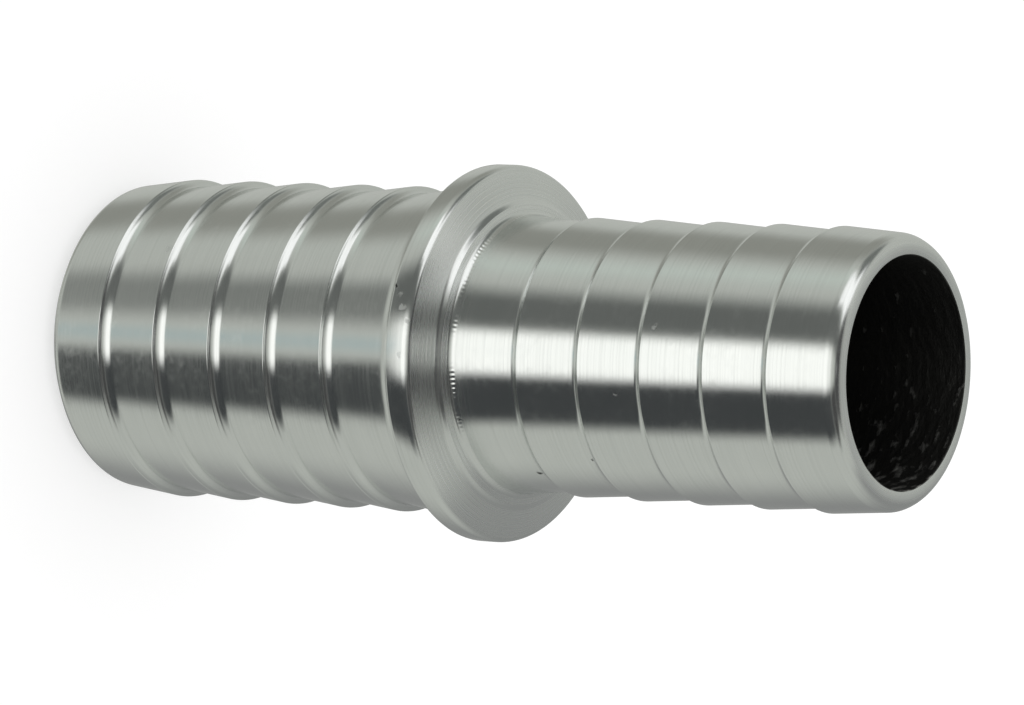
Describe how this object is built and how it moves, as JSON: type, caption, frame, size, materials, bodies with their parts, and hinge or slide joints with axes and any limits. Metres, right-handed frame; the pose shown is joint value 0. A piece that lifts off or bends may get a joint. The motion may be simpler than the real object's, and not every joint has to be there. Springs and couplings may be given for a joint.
{
  "type": "hose barb reducer",
  "caption": "Turned steel hose reducer with a ribbed tail for a larger and a smaller hose, a collar between them and a stepped bore through both.",
  "frame": {"origin": "middle of the large tail's end face, which the part stands on", "axes": "+Z along the bore from the large tail to the small tail; X and Y are alike"},
  "size_m": [0.0218, 0.0218, 0.0536],
  "materials": {
    "zinc_plated_steel": "turned, then bright zinc plated: satin, with fine lines round the axis"
  },
  "bodies": {
    "root": {"barbed_reducer": "zinc_plated_steel"}
  },
  "joints": []
}
